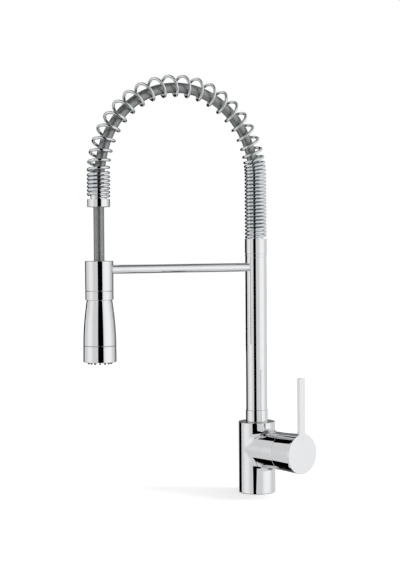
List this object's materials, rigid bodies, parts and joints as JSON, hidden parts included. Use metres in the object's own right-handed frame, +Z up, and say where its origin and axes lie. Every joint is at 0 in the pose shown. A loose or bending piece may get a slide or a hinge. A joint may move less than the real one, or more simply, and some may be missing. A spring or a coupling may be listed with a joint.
{
  "type": "pre-rinse faucet",
  "caption": "Deck faucet with side lever, turning column, spring arch over a flexible hose and a pull-down spray head held by a cross arm.",
  "frame": {"origin": "centre of the base's underside, on the worktop's upper face", "axes": "+Z up the column, -X towards the spray head, the lever's branch at -78.2 degrees from +X"},
  "size_m": [0.2873, 0.1124, 0.5983],
  "materials": {
    "chrome": "mirror polished chrome plate on brass",
    "spring_chrome": "polished chrome plate on spring wire",
    "hose_grey": "satin grey braided hose cover",
    "rubber": "moulded black rubber",
    "nozzle_rubber": "soft black silicone",
    "steel": "turned stainless steel",
    "brass": "machined brass",
    "white_plastic": "moulded acetal",
    "dark_plastic": "moulded black plastic",
    "blue_plastic": "moulded blue plastic",
    "grey_plastic": "moulded grey plastic",
    "ceramic": "lapped alumina"
  },
  "bodies": {
    "base": {"base_body": "chrome", "base_gasket": "rubber", "fixing_stud": "steel", "horseshoe_gasket": "rubber", "horseshoe_plate": "steel", "fixing_nut": "brass", "swivel_bush": "white_plastic", "swivel_screw": "steel", "cartridge_seals": "rubber", "cartridge_base": "white_plastic", "ceramic_disc_fixed": "ceramic", "cartridge_housing": "dark_plastic", "cartridge_nut": "brass", "dome_ring": "chrome"},
    "neck": {"column_spigot": "brass", "spigot_orings": "rubber", "column_collar": "chrome", "column_tube": "chrome", "column_head": "brass", "column_band": "chrome", "spring_ferrule": "chrome", "hose_end_upper": "steel", "spring": "spring_chrome", "hose": "hose_grey", "arm_rod": "chrome", "spray_holder": "chrome", "holder_bush": "dark_plastic"},
    "hose_end": {"spring_end_collar": "chrome", "hose_end_lower": "steel"},
    "spray_head": {"spray_collar": "chrome", "hose_nut": "brass", "hose_washer": "rubber", "check_valve": "blue_plastic", "waterway": "white_plastic", "spray_shell": "chrome", "flow_plate": "white_plastic", "face_seal": "rubber", "face_screw": "steel"},
    "spray_face": {"spray_ring": "chrome", "nozzle_plate": "grey_plastic", "nozzle_mat": "nozzle_rubber"},
    "valve_carrier": {"stem_carrier": "dark_plastic", "carrier_pin": "steel"},
    "lever": {"lever_stem": "steel", "handle": "chrome", "handle_screw": "steel"},
    "valve_disc": {"ceramic_disc_moving": "ceramic", "disc_carrier": "white_plastic"}
  },
  "joints": [
    {"name": "neck_swivel", "type": "hinge", "parent": "base", "child": "neck", "pos_m": [0, 0, 0.0922], "axis": [0, 0, 1], "continuous": true},
    {"name": "spray_pull", "type": "slide", "parent": "neck", "child": "hose_end", "axis": [0, 0, -1], "range_m": [0, 0.065], "stiffness_N_per_m": 120, "springref_m": -0.1, "deforming": ["spring", "hose"]},
    {"name": "spray_turn", "type": "hinge", "parent": "hose_end", "child": "spray_head", "pos_m": [-0.2251, 0, 0.26], "axis": [0, 0, 1], "continuous": true},
    {"name": "spray_select", "type": "hinge", "parent": "spray_head", "child": "spray_face", "pos_m": [-0.2251, 0, 0.19], "axis": [0, 0, 1], "range_deg": [0, 45]},
    {"name": "lever_temperature", "type": "hinge", "parent": "base", "child": "valve_carrier", "pos_m": [0, 0, 0.0579], "axis": [0.2045, -0.9789, 0], "range_deg": [-45, 45]},
    {"name": "lever_flow", "type": "hinge", "parent": "valve_carrier", "child": "lever", "pos_m": [0.00736, -0.03524, 0.0579], "axis": [0.9789, 0.2045, 0], "range_deg": [0, 20]},
    {"name": "disc_shift", "type": "slide", "parent": "valve_carrier", "child": "valve_disc", "axis": [0, 0, 1], "range_m": [0, 0.0042]}
  ],
  "couplings": [
    {"joint": "disc_shift", "follows": "lever_flow", "m_per_rad": 0.0112}
  ]
}
